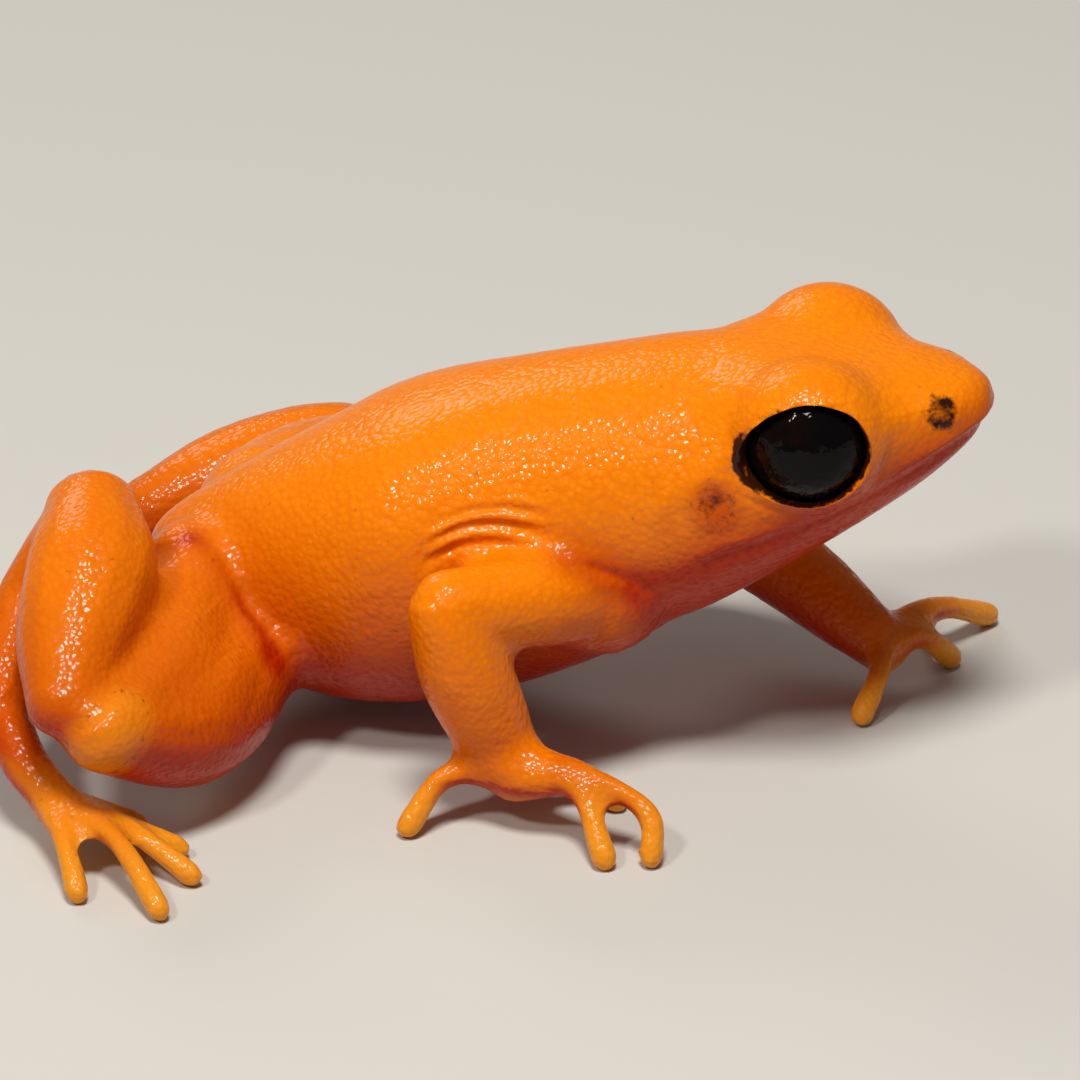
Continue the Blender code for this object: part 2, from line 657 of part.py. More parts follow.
def part_flesh(flesh, collection, material):
    """Names the bodies that the cuts have left."""
    bodies = loose_bodies(flesh.data)
    trees = []
    for body in bodies:
        shape = bmesh.new()
        shape.from_mesh(body)
        trees.append(BVHTree.FromBMesh(shape))
        shape.free()
    taken = {}
    for name, seed in node_seeds().items():
        found = [place for place, tree in enumerate(trees) if holds(tree, seed)]
        if not found or found[0] in taken:
            raise RuntimeError(f"{name} has no body of its own: {found}, {taken}")
        taken[found[0]] = name
    for place, name in taken.items():
        node = add_object(name, bodies[place], collection)
        node.data.name = name
        node.data.materials.clear()
        node.data.materials.append(material)
        thin_out(node, TRIANGLES[name.replace("_left", "").replace("_right", "")])
    bpy.data.objects.remove(flesh)


def stand_on_origin(nodes):
    """Brings the middle of the frog's footprint to the origin."""
    corners = [Vector(corner) for node in nodes for corner in node.bound_box]
    low = [min(corner[axis] for corner in corners) for axis in range(3)]
    high = [max(corner[axis] for corner in corners) for axis in range(3)]
    shift = Matrix.Translation((-(low[0] + high[0]) / 2, -(low[1] + high[1]) / 2, -low[2]))
    for node in nodes:
        node.data.transform(shift)


clear_scene()
frog = make_collection("golden_mantella")
helpers = make_collection("helpers")
cutters = make_collection("cutters", hidden=True)
flesh = fuse_flesh(helpers)
shape_face(flesh)
cut(flesh, eye_openings(), cutters)
cut(flesh, [floor_cut()], cutters)
cut(flesh, joint_cuts(), cutters)
part_flesh(flesh, frog, make_material("skin", SKIN_COLOUR, 0.3))
eye_material = make_material("eye", EYE_COLOUR, 0.05)
for side, name in ((-1, "eye_right"), (1, "eye_left")):
    eye = add_object(name, ball_mesh(eye_place(side), (EYE_RADIUS,) * 3, 24, 14), frog)
    eye.data.materials.append(eye_material)
bpy.context.view_layer.update()
stand_on_origin(frog.objects)
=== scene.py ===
import math

import bpy
import numpy as np
from mathutils import Matrix, Vector, noise


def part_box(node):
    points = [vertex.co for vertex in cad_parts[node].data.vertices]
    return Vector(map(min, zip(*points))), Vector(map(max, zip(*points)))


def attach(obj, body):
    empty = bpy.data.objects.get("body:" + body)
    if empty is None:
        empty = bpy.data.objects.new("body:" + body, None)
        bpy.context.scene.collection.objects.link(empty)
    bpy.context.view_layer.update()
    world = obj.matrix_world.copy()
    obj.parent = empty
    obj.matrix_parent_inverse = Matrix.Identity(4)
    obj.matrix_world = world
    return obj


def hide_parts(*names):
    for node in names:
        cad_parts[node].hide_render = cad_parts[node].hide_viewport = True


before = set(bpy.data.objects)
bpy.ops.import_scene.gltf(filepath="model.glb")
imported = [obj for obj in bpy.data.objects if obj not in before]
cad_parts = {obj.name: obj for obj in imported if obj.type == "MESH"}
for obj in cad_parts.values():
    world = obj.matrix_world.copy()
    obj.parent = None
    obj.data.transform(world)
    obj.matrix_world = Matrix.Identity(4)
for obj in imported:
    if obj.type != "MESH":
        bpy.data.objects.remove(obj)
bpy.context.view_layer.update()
mm = 0.001
bothSides = (-1, 1)  # right, then left


def pick(*pieces):
    # only these are selected, and the last one is active
    bpy.ops.object.select_all(action="DESELECT")
    for piece in pieces:
        piece.select_set(True)
    bpy.context.view_layer.objects.active = pieces[-1]


def addModifier(piece, kind, **settings):
    pick(piece)
    modifier = piece.modifiers.new(kind.lower(), kind)
    for name, value in settings.items():
        setattr(modifier, name, value)
    bpy.ops.object.modifier_apply(modifier=modifier.name)


# Places on the frog are in its own millimetres: x forward, y to its left from the middle line, z up.
eyeSize = {
    "radius": 1.765,  # the eyeball fills its socket and rests against the lids
    "middle": (7.8, 2.35, 10.12),
    "lean": -14,  # degrees, the opening drops towards the cheek
    "outwards": 8,
    "slit": (1.78, 1.52),  # half the opening's length and height
    "almond": 0.2,  # the opening is narrower towards its rear corner
    "slitShift": (0.05, 1.9, -0.02),
    "slitFrom": 2.4,  # the opening is all this far from the middle line
}
lowLeft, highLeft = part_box("eye_left")
lowRight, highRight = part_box("eye_right")
eyeLeftMiddle = (lowLeft + highLeft) / 2
eyeRightMiddle = (lowRight + highRight) / 2
eyesMiddle = (eyeLeftMiddle + eyeRightMiddle) / 2
frogOrigin = eyesMiddle - Vector((eyeSize["middle"][0], 0, eyeSize["middle"][2])) * mm

print("skin: closing the joints of the flesh")
skinSize = {
    "weld": 0.001,
    "overlap": 0.19,  # the flesh swells by this to close its joints, then shrinks back
    "voxel": 0.1,
    "seamSoftening": 4,
    "softening": 14,
    "hipSoftening": 110,
    "faces": 192000,
}


def makeSkin():
    flesh = [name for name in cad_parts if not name.startswith("eye")]
    copies = []
    for name in flesh:
        piece = bpy.data.objects.new("skin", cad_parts[name].data.copy())
        bpy.context.scene.collection.objects.link(piece)
        copies.append(piece)
    pick(*copies)
    bpy.ops.object.join()
    skin = bpy.context.view_layer.objects.active
    bpy.ops.object.mode_set(mode="EDIT")
    bpy.ops.mesh.select_all(action="SELECT")
    bpy.ops.mesh.remove_doubles(threshold=skinSize["weld"] * mm)
    bpy.ops.mesh.normals_make_consistent(inside=False)
    bpy.ops.object.mode_set(mode="OBJECT")
    addModifier(skin, "DISPLACE", strength=skinSize["overlap"] * mm, mid_level=0)
    addModifier(skin, "REMESH", mode="VOXEL", voxel_size=skinSize["voxel"] * mm)
    addModifier(skin, "SMOOTH", factor=0.5, iterations=skinSize["seamSoftening"])
    addModifier(skin, "DISPLACE", strength=-skinSize["overlap"] * mm, mid_level=0)
    addModifier(skin, "SMOOTH", factor=0.5, iterations=skinSize["softening"])
    dropScraps(skin)
    return skin, flesh


def dropScraps(piece):
    # keeps only the largest connected surface
    mesh = piece.data
    edges = np.empty(len(mesh.edges) * 2, int)
    mesh.edges.foreach_get("vertices", edges)
    edges = edges.reshape(-1, 2)
    label = np.arange(len(mesh.vertices))
    while True:
        lowest = np.minimum(label[edges[:, 0]], label[edges[:, 1]])
        after = label.copy()
        np.minimum.at(after, edges[:, 0], lowest)
        np.minimum.at(after, edges[:, 1], lowest)
        after = after[after]
        if (after == label).all():
            break
        label = after
    surfaces, counts = np.unique(label, return_counts=True)
    print("surfaces of", piece.name, len(surfaces))
    if len(surfaces) > 1:
        scrap = label != surfaces[counts.argmax()]
        pick(piece)
        bpy.ops.object.mode_set(mode="EDIT")
        bpy.ops.mesh.select_all(action="DESELECT")
        bpy.ops.object.mode_set(mode="OBJECT")
        mesh.vertices.foreach_set("select", scrap)
        bpy.ops.object.mode_set(mode="EDIT")
        bpy.ops.mesh.delete(type="VERT")
        bpy.ops.object.mode_set(mode="OBJECT")


skin, flesh = makeSkin()
print("skin faces", len(skin.data.polygons))


def readMesh(mesh):
    # places in the frog's own millimetres, and the normals
    places = np.empty(len(mesh.vertices) * 3)
    normals = np.empty(len(mesh.vertices) * 3)
    mesh.vertices.foreach_get("co", places)
    mesh.vertices.foreach_get("normal", normals)
    return (places.reshape(-1, 3) - frogOrigin) / mm, normals.reshape(-1, 3)


def writeMesh(mesh, places):
    mesh.vertices.foreach_set("co", (places * mm + frogOrigin).reshape(-1))
    mesh.update()


def rise(value, start, width):
    # 0 before start, then up to 1 over width
    return np.clip((value - start) / width, 0, 1)


def fall(value, end, width):
    # down to 0 at end, over width
    return np.clip((end - value) / width, 0, 1)


def hump(distance, width):
    return np.exp(-((distance / width) ** 2))


def mirror(places):
    # right side onto left
    mirrored = places.copy()
    mirrored[:, 1] = abs(places[:, 1])
    return mirrored


def fromPlace(places, place):
    return np.linalg.norm(places - place, axis=1)


def fromEye(places, side):
    return fromPlace(places, np.array(eyeSize["middle"]) * (1, side, 1))


def curvePoints(points, steps=6):
    # a smooth line through a few points
    rows = [np.array(point, float) for point in points]
    rows = [2 * rows[0] - rows[1], *rows, 2 * rows[-1] - rows[-2]]
    line = []
    for a, b, c, d in zip(rows, rows[1:], rows[2:], rows[3:]):
        square = 2 * a - 5 * b + 4 * c - d
        cube = 3 * b - a - 3 * c + d
        for step in range(steps):
            t = step / steps
            line.append(0.5 * (2 * b + (c - a) * t + square * t**2 + cube * t**3))
    line.append(rows[-2])
    return line


def fromLine(places, points):
    # distance from the curve through points, and how far along it the nearest place lies, 0 to 1
    line = curvePoints(points)
    nearest = np.full(len(places), 1e9)
    along = np.zeros(len(places))
    for step, (start, end) in enumerate(zip(line, line[1:])):
        run = end - start
        share = np.clip((places - start) @ run / (run @ run), 0, 1)
        gap = np.linalg.norm(places - start - share[:, None] * run, axis=1)
        closer = gap < nearest
        nearest[closer] = gap[closer]
        along[closer] = (step + share[closer]) / (len(line) - 1)
    return nearest, along


def slitRing(places, side):
    # 1 on the edge of the eye opening, less inside it and more outside, and places seen from its middle
    x, y, z = eyeSize["middle"]
    dx, dy, dz = eyeSize["slitShift"]
    length, height = eyeSize["slit"]
    centre = np.array((x + dx, side * (y + dy), z + dz))
    turn = Matrix.Rotation(math.radians(eyeSize["lean"]), 3, "Y")
    turn = turn @ Matrix.Rotation(math.radians(-eyeSize["outwards"] * side), 3, "X")
    local = (places - centre) @ np.array(turn)
    narrow = 1 - eyeSize["almond"] * np.clip(-local[:, 0] / length, 0, 1)
    ring = np.sqrt((local[:, 0] / length) ** 2 + (local[:, 2] / height / narrow) ** 2)
    elsewhere = 9.0
    return np.where(side * places[:, 1] > eyeSize["slitFrom"], ring, elsewhere), local


softSpots = (
    # place, reach: the right hip and thigh, then the left hip
    ((-8.4, -2.9, 5.9), 1.6),
    ((-7.4, -3.5, 5.1), 1.7),
    ((-6.4, -4.0, 4.3), 1.8),
    ((-5.6, -4.1, 3.2), 1.8),
    ((-5.6, -3.9, 2.0), 1.7),
    ((-8.7, -5.6, 4.7), 2.0),
    ((-7.6, -5.9, 3.9), 2.2),
    ((-5.3, 4.2, 4.6), 1.8),
    ((-7.2, 3.7, 5.9), 1.7),
    ((-9.0, 2.9, 5.2), 1.7),
)
softSize = {
    "spotFade": 0.7,
    "rimFrom": 2.0,  # the rim of each eye bulge, by its distance from the eye's middle
    "rimFade": 0.25,
    "rimTo": 3.4,
    "rimOuterFade": 0.8,
    "lidRing": 1.3,  # the lids inside this ring stay crisp
    "lidFade": 0.3,
    "steps": 10,
}


def softenSkin(skin):
    places = readMesh(skin.data)[0]
    weight = np.zeros(len(places))
    for place, reach in softSpots:
        weight = np.maximum(weight, fall(fromPlace(places, place), reach, softSize["spotFade"]))
    for side in bothSides:
        gap = fromEye(places, side)
        ring = slitRing(places, side)[0]
        around = rise(gap, softSize["rimFrom"], softSize["rimFade"])
        around *= fall(gap, softSize["rimTo"], softSize["rimOuterFade"])
        weight = np.maximum(weight, around * rise(ring, softSize["lidRing"], softSize["lidFade"]))
    group = skin.vertex_groups.new(name="soft")
    steps = softSize["steps"]
    for level in range(1, steps + 1):
        chosen = (weight > (level - 0.5) / steps) & (weight <= (level + 0.5) / steps)
        group.add(np.nonzero(chosen)[0].tolist(), level / steps, "REPLACE")
    addModifier(skin, "SMOOTH", factor=0.5, iterations=skinSize["hipSoftening"], vertex_group="soft")
    skin.vertex_groups.clear()


mouthSize = {
    # along the side of the head, x and z
    "line": ((12.6, 10.02), (11.6, 9.62), (10.0, 8.85), (8.4, 8.12), (6.8, 7.45), (5.7, 7.05), (5.2, 6.75)),
    "from": 4.6,
    "width": 0.12,
    "depth": 0.05,
    "lipRise": 0.27,
    "lip": 0.02,
    "lipSpread": 1.4,
}
nostrilSize = {
    "middle": (11.3, 1.3, 10.55),
    "stain": (11.18, 1.55, 10.62),
    "stainReach": 0.34,
    "stainWidth": 0.2,
    "hole": 0.1,
    "size": 0.17,
    "depth": 0.2,
    "rim": 0.05,
    "rimPlace": 1.7,
}
eardrumSize = {
    "middle": (5.48, 3.7, 8.56),
    "radius": 0.66,
    "ring": 0.025,
    "width": 0.16,
    "sink": 0.04,
    "sinkShare": 0.6,
}
lidSize = {
    "fold": 0.03,
    "foldTop": 0.2,
    "foldPlace": 1.3,
    "foldWidth": 0.1,
    "ringUnit": 1.6,  # millimetres from the eye's middle to its opening's edge
    "brow": 0.06,
    "browPlace": 2.5,
    "browWidth": 0.4,
}
foldFade = 0.25  # share of a fold over which each end fades
foldLines = (
    # the ridge from eye to nostril
    {
        "line": ((9.7, 2.75, 10.75), (10.6, 2.05, 10.9), (11.4, 1.35, 10.85)),
        "height": 0.07,
        "width": 0.35,
    },
    # the fold from the eye down behind the eardrum
    {
        "line": ((6.2, 3.4, 9.75), (5.3, 3.6, 9.65), (4.5, 3.8, 9.1), (4.0, 3.8, 8.1)),
        "height": 0.05,
        "width": 0.3,
    },
    # arcs over the arm, grooves and ridges in turn
    {
        "line": ((-2.4, 4.0, 6.3), (-1.3, 3.95, 6.95), (-0.2, 3.9, 7.1), (1.0, 4.0, 6.95)),
        "height": -0.1,
        "width": 0.1,
    },
    {
        "line": ((-2.4, 4.0, 6.6), (-1.35, 3.9, 7.2), (-0.3, 3.8, 7.35), (1.0, 3.8, 7.15)),
        "height": 0.12,
        "width": 0.1,
    },
    {
        "line": ((-2.4, 4.0, 6.85), (-1.35, 3.85, 7.42), (-0.3, 3.7, 7.58), (1.1, 3.7, 7.4)),
        "height": -0.1,
        "width": 0.08,
    },
    {
        "line": ((-2.3, 3.9, 7.1), (-1.3, 3.75, 7.65), (-0.2, 3.65, 7.8), (1.1, 3.65, 7.62)),
        "height": 0.11,
        "width": 0.1,
    },
    {
        "line": ((-2.1, 3.9, 7.35), (-1.2, 3.7, 7.88), (-0.1, 3.6, 8.03), (1.1, 3.6, 7.86)),
        "height": -0.08,
        "width": 0.09,
    },
    {
        "line": ((-1.9, 3.8, 7.6), (-1.1, 3.6, 8.1), (0.0, 3.55, 8.25), (1.1, 3.55, 8.1)),
        "height": 0.05,
        "width": 0.12,
    },
    # the crease before the arm
    {
        "line": ((1.7, 4.1, 6.9), (2.5, 4.0, 6.55), (3.5, 3.7, 6.05), (4.1, 3.5, 5.6)),
        "height": -0.09,
        "width": 0.13,
    },
    # at the right thigh: the groove before it fills, the flank's rim sinks, it rounds out, a fine fold stays
    {
        "line": (
            (-9.1, -2.5, 5.9),
            (-8.55, -2.9, 5.3),
            (-7.85, -3.4, 4.55),
            (-7.1, -4.0, 3.95),
            (-6.4, -4.4, 3.4),
        ),
        "height": 0.26,
        "width": 0.45,
        "rightOnly": True,
    },
    {
        "line": (
            (-8.6, -1.6, 5.9),
            (-7.7, -2.6, 5.15),
            (-7.15, -3.1, 4.35),
            (-6.45, -3.6, 4.0),
            (-5.9, -3.8, 3.6),
        ),
        "height": -0.2,
        "width": 0.4,
        "rightOnly": True,
    },
    {
        "line": ((-9.3, -5.6, 5.2), (-8.3, -6.1, 4.8), (-7.4, -5.9, 4.0), (-6.5, -5.8, 3.3)),
        "height": 0.2,
        "width": 1.3,
        "rightOnly": True,
    },
    {
        "line": ((-8.9, -2.4, 5.8), (-8.2, -2.95, 5.2), (-7.5, -3.5, 4.4), (-6.7, -4.1, 3.7)),
        "height": -0.08,
        "width": 0.13,
        "rightOnly": True,
    },
)


def shapeSkin(skin):
    mesh = skin.data
    places, normals = readMesh(mesh)
    mirrored = mirror(places)
    shift = np.zeros(len(places))
    # mouth and lips
    sideView = places[:, (0, 2)]
    head = places[:, 0] > mouthSize["from"]
    lipLine = [(x, z + mouthSize["lipRise"]) for x, z in mouthSize["line"]]
    mouth = fromLine(sideView, mouthSize["line"])[0]
    lip = fromLine(sideView, lipLine)[0]
    shift -= head * mouthSize["depth"] * hump(mouth, mouthSize["width"])
    shift += head * mouthSize["lip"] * hump(lip, mouthSize["width"] * mouthSize["lipSpread"])
    # nostrils and eardrums
    nostril = fromPlace(mirrored, nostrilSize["middle"])
    rim = nostrilSize["size"] * nostrilSize["rimPlace"]
    shift += nostrilSize["rim"] * hump(nostril - rim, nostrilSize["size"])
    shift -= nostrilSize["depth"] * hump(nostril, nostrilSize["size"])
    eardrum = fromPlace(mirrored, eardrumSize["middle"])
    shift += eardrumSize["ring"] * hump(eardrum - eardrumSize["radius"], eardrumSize["width"])
    shift -= eardrumSize["sink"] * hump(eardrum, eardrumSize["radius"] * eardrumSize["sinkShare"])
    # a fold under the lower lid, and a brow that runs smoothly into the crown
    for side in bothSides:
        ring, local = slitRing(places, side)
        height = local[:, 2]
        foldGap = (ring - lidSize["foldPlace"]) * lidSize["ringUnit"]
        shift -= fall(height, lidSize["foldTop"], 1) * lidSize["fold"] * hump(foldGap, lidSize["foldWidth"])
        browGap = fromEye(places, side) - lidSize["browPlace"]
        shift += lidSize["brow"] * rise(height, 0, 1) * hump(browGap, lidSize["browWidth"])
    for fold in foldLines:
        gap, along = fromLine(places if "rightOnly" in fold else mirrored, fold["line"])
        ends = rise(along, 0, foldFade) * fall(along, 1, foldFade)
        shift += fold["height"] * ends * hump(gap, fold["width"])
    writeMesh(mesh, places + normals * shift[:, None])


print("skin: lids, mouth, nostrils, eardrums and folds")
softenSkin(skin)
shapeSkin(skin)

grainSize = {
    "pitch": 0.29,
    "height": 0.022,
    "foot": 0.75,  # a granule's reach, in pitches
    "seed": 3.7,
    "patch": 2.2,  # granules stand out in patches about this wide
    "patchMean": 0.5,
    "patchSwing": 1.2,
    "patchLeast": 0.1,
    "limbsFrom": 5.2,  # hands and feet, out here and this low, are smooth
    "limbsBelow": 2.2,
    "lidRing": 1.15,
    "lidFade": 0.6,
}


def grainSkin(skin):
    # low rounded granules over back and flanks, none on lids, fingers and toes
    mesh = skin.data
    places, normals = readMesh(mesh)
    shift = np.zeros(len(places))
    limbs = (abs(places[:, 1]) > grainSize["limbsFrom"]) & (places[:, 2] < grainSize["limbsBelow"])
    seed = Vector((grainSize["seed"], 0, 0))
    for index, place in enumerate(places):
        if limbs[index]:
            continue
        gaps = noise.voronoi(Vector(place / grainSize["pitch"]) + seed)[0]
        patch = noise.noise(Vector(place / grainSize["patch"]))
        patch = grainSize["patchMean"] + grainSize["patchSwing"] * patch
        patch = max(grainSize["patchLeast"], min(1, patch))
        shift[index] = max(0, grainSize["foot"] - gaps[0]) * patch
    ring = np.minimum(slitRing(places, -1)[0], slitRing(places, 1)[0])
    lids = rise(ring, grainSize["lidRing"], grainSize["lidFade"])
    writeMesh(mesh, places + normals * (shift * lids * grainSize["height"])[:, None])


print("skin: granules")
grainSkin(skin)
triangles = sum(len(face.vertices) - 2 for face in skin.data.polygons)
share = min(1, skinSize["faces"] / triangles)
addModifier(skin, "DECIMATE", ratio=share, use_collapse_triangulate=True)
pick(skin)
bpy.ops.object.shade_smooth()
print("skin triangles", len(skin.data.polygons))

# Tones of the skin, each 0 to 1: how deep the orange is, mostly painted shade, how pale and yellow, and how
# brown.
deepToneAndShadeSize = {
    "upright": 0.42,  # painted shade on a surface that faces sideways, less above and more below
    "facing": 0.5,
    "facingShare": 0.75,
    "low": 0.62,  # painted shade, deeper towards the belly
    "lowFrom": 7.4,
    "lowFade": 5.0,
    "less": 0.1,
    "rear": 0.25,  # painted shade, also on the right hind leg
    "rearFrom": -4.5,
    "rearFade": 4.0,
    "rearSide": 1.0,
    "rearSideFade": 3.0,
    "cheek": 0.75,  # painted shade, also in a band under the mouth
    "cheekFrom": 3.0,
    "cheekFade": 2.5,
    "cheekTop": 1.5,
    "cheekFloor": 3.0,
    "cheekFloorFade": 0.8,
    "mouthAt": (5.7, 7.05),
    "mouthSlope": 0.43,
    "crease": 0.7,
    "eardrum": 0.6,
    "eardrumReach": 1.4,
}
creaseShades = (
    # line, reach: painted shade in the folds before the arm and at the thigh
    (((1.7, 4.1, 6.8), (2.9, 3.9, 6.3), (4.1, 3.5, 5.6)), 0.7),
    (((-8.9, 2.4, 5.8), (-7.8, 3.3, 4.6), (-6.4, 4.4, 3.4)), 0.45),
)
armSize = {"low": (-2.8, 5.0, 1.5), "high": (1.6, 8.0), "fade": 0.8, "lighter": 0.45}  # the right arm, which gets less painted shade
wrists = {
    "hand_left": (8.8, 2.9, 1.75),
    "hand_right": (-0.05, -5.8, 2.3),
    "foot_left": (-11.6, 9.8, 1.1),
    "foot_right": (-13.3, -6.4, 3.0),
}
digitSize = {
    "margin": 0.3,
    "from": 0.5,  # past the wrist or ankle
    "fade": 2.2,
    "below": 2.4,
    "belowFade": 1.6,
    "thighFrom": 0.9,  # the underside of the thigh, above the toes, keeps its red painted shade
    "thighFade": 0.5,
    "underTo": 0.4,
    "underFade": 0.5,
    "lighter": 0.85,
}
kneeSpot = {
    "line": ((-9.2, -9.9, 4.5), (-9.9, -10.4, 3.5)),
    "radius": 0.72,
    "reach": 1.6,
    "fade": 1.0,
    "pale": 0.4,
    "lighter": 0.45,
    "lighterReach": 1.7,
    "lighterFade": 1.1,
    "ring": 0.3,
    "ringPlace": 1.1,
    "ringWidth": 0.1,
}
brownSize = {
    "eardrum": 0.56,
    "eardrumReach": 1.3,
    "eardrumFade": 0.6,
    "nostril": 0.85,
    "nostrilHole": 1.2,
    "speck": 0.75,
    "lid": 1.6,
    "lidTo": 2.03,  # the lids' edge, by its distance from the eye's middle
    "lidBehind": 0.05,
    "lidFade": 0.07,
    "cornerRing": 1.14,
    "cornerFade": 0.08,
}
specks = (
    # place, reach
    ((3.28, -3.68, 8.04), 0.1),
    ((4.18, -3.77, 6.81), 0.14),
    ((-1.86, -2.02, 9.5), 0.13),
)


# painted shade: the orange deepens on undersides, on sides that face away from the light, towards the belly,
# on the right hind leg, under the mouth and in creases; the eardrums deepen in their own colour
def deepOrangeAndShade(places, up):
    x, y, z = mirror(places).T
    facing = np.clip(deepToneAndShadeSize["upright"] - deepToneAndShadeSize["facing"] * up, 0, 1)
    low = fall(z, deepToneAndShadeSize["lowFrom"], deepToneAndShadeSize["lowFade"])
    deepAndShade = np.clip(facing * deepToneAndShadeSize["facingShare"] + deepToneAndShadeSize["low"] * low - deepToneAndShadeSize["less"], 0, 1)
    rear = fall(x, deepToneAndShadeSize["rearFrom"], deepToneAndShadeSize["rearFade"])
    rear *= fall(places[:, 1], deepToneAndShadeSize["rearSide"], deepToneAndShadeSize["rearSideFade"])
    deepAndShade = np.clip(deepAndShade + deepToneAndShadeSize["rear"] * rear, 0, 1)
    mouthX, mouthZ = deepToneAndShadeSize["mouthAt"]
    mouth = mouthZ + (x - mouthX) * deepToneAndShadeSize["mouthSlope"]
    cheek = rise(x, deepToneAndShadeSize["cheekFrom"], deepToneAndShadeSize["cheekFade"])
    cheek *= fall(z, mouth + deepToneAndShadeSize["cheekTop"], deepToneAndShadeSize["cheekTop"])
    cheek *= rise(z - mouth, -deepToneAndShadeSize["cheekFloor"], deepToneAndShadeSize["cheekFloorFade"])
    deepAndShade = np.clip(deepAndShade + deepToneAndShadeSize["cheek"] * cheek, 0, 1)
    for line, reach in creaseShades:
        gap = fromLine(mirror(places), line)[0]
        deepAndShade = np.clip(deepAndShade + deepToneAndShadeSize["crease"] * hump(gap, reach), 0, 1)
    return deepAndShade


def paleDigits(places, up):
    pale = np.zeros(len(places))
    height = places[:, 2]
    thigh = rise(height, digitSize["thighFrom"], digitSize["thighFade"])
    thigh *= fall(up, digitSize["underTo"], digitSize["underFade"])
    low = fall(height, digitSize["below"], digitSize["belowFade"])
    for name, joint in wrists.items():
        start, end = [np.array(corner - frogOrigin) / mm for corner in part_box(name)]
        inside = (places > start - digitSize["margin"]) & (places < end + digitSize["margin"])
        past = rise(fromPlace(places, joint), digitSize["from"], digitSize["fade"])
        pale = np.maximum(pale, inside.all(axis=1) * past * low * (1 - thigh))
    return pale


def rightArm(places):
    x, y, z = places.T
    lowX, inner, lowZ = armSize["low"]
    highX, highZ = armSize["high"]
    return rise(-y, inner, armSize["fade"]) * (x > lowX) * (x < highX) * (z > lowZ) * (z < highZ)


def darkLids(places):
    # the edge of the lids is dark, most of all at the rear corner
    dark = np.zeros(len(places))
    for side in bothSides:
        ring, local = slitRing(places, side)
        behind = np.clip(-local[:, 0] / eyeSize["slit"][0], 0, 1)
        edge = brownSize["lidTo"] + brownSize["lidBehind"] * behind
        dark = np.maximum(dark, fall(fromEye(places, side), edge, brownSize["lidFade"]))
        corner = fall(ring, brownSize["cornerRing"], brownSize["cornerFade"])
        dark = np.maximum(dark, behind**4 * corner)
    return dark


def paintSkin(skin):
    mesh = skin.data
    places, normals = readMesh(mesh)
    mirrored = mirror(places)
    up = normals[:, 2]
    deepAndShade = deepOrangeAndShade(places, up)
    pale = paleDigits(places, up)
    # fingers, toes and the right arm get less of the painted shade
    deepAndShade *= 1 - digitSize["lighter"] * pale
    deepAndShade *= 1 - armSize["lighter"] * rightArm(places)
    # the knee is paler and gets less painted shade, with a faint brown ring
    knee = fromLine(places, kneeSpot["line"])[0]
    share = knee / kneeSpot["radius"]
    pale = np.maximum(pale, kneeSpot["pale"] * fall(share, kneeSpot["reach"], kneeSpot["fade"]))
    deepAndShade *= 1 - kneeSpot["lighter"] * fall(share, kneeSpot["lighterReach"], kneeSpot["lighterFade"])
    ring = kneeSpot["radius"] * kneeSpot["ringPlace"]
    brown = kneeSpot["ring"] * hump(knee - ring, kneeSpot["ringWidth"])
    # eardrums, nostrils, specks and lids are brown
    share = fromPlace(mirrored, eardrumSize["middle"]) / eardrumSize["radius"]
    deepAndShade = np.clip(deepAndShade + deepToneAndShadeSize["eardrum"] * fall(share, deepToneAndShadeSize["eardrumReach"], 1), 0, 1)
    patch = fall(share, brownSize["eardrumReach"], 1) ** brownSize["eardrumFade"]
    brown = np.maximum(brown, brownSize["eardrum"] * patch)
    nostril = fromPlace(mirrored, nostrilSize["stain"])
    stain = hump(nostril - nostrilSize["stainReach"], nostrilSize["stainWidth"])
    brown = np.maximum(brown, brownSize["nostril"] * stain)
    brown = np.maximum(brown, brownSize["nostrilHole"] * hump(nostril, nostrilSize["hole"]))
    for place, reach in specks:
        brown = np.maximum(brown, brownSize["speck"] * hump(fromPlace(places, place), reach))
    brown = np.maximum(brown, brownSize["lid"] * darkLids(places))
    brown = np.clip(brown, 0, 1)
    layer = mesh.color_attributes.new("skinToneAndShade", "FLOAT_COLOR", "POINT")
    values = np.stack([deepAndShade, pale, brown, np.ones(len(places))], axis=1)
    layer.data.foreach_set("color", values.reshape(-1))


print("skin: colours")
paintSkin(skin)


def makeMaterial(name):
    material = bpy.data.materials.new(name)
    material.use_nodes = True
    tree = material.node_tree
    shader = tree.nodes["Principled BSDF"]
    return material, tree, shader


def addNode(tree, kind, inputs, **settings):
    node = tree.nodes.new(kind)
    for key, value in settings.items():
        setattr(node, key, value)
    for key, value in inputs.items():
        if isinstance(value, bpy.types.NodeSocket):
            tree.links.new(value, node.inputs[key])
        else:
            node.inputs[key].default_value = value
    return node


def addMix(tree, share, first, second):
    inputs = {"Factor": share, 6: first, 7: second}  # colours A and B
    return addNode(tree, "ShaderNodeMix", inputs, data_type="RGBA").outputs[2]


def addMath(tree, operation, *values, **settings):
    inputs = dict(enumerate(values))
    return addNode(tree, "ShaderNodeMath", inputs, operation=operation, **settings).outputs[0]


def addRange(tree, value, start, end, first, last):
    inputs = {"Value": value, 1: start, 2: end, 3: first, 4: last}
    return addNode(tree, "ShaderNodeMapRange", inputs).outputs[0]


def addNoise(tree, where, scale, detail, roughness):
    inputs = {"Vector": where, "Scale": scale, "Detail": detail, "Roughness": roughness}
    return addNode(tree, "ShaderNodeTexNoise", inputs).outputs[0]


def addBump(tree, height, strength, distance, below=None, **settings):
    inputs = {"Height": height, "Strength": strength, "Distance": distance * mm}
    if below is not None:
        inputs["Normal"] = below
    return addNode(tree, "ShaderNodeBump", inputs, **settings).outputs[0]


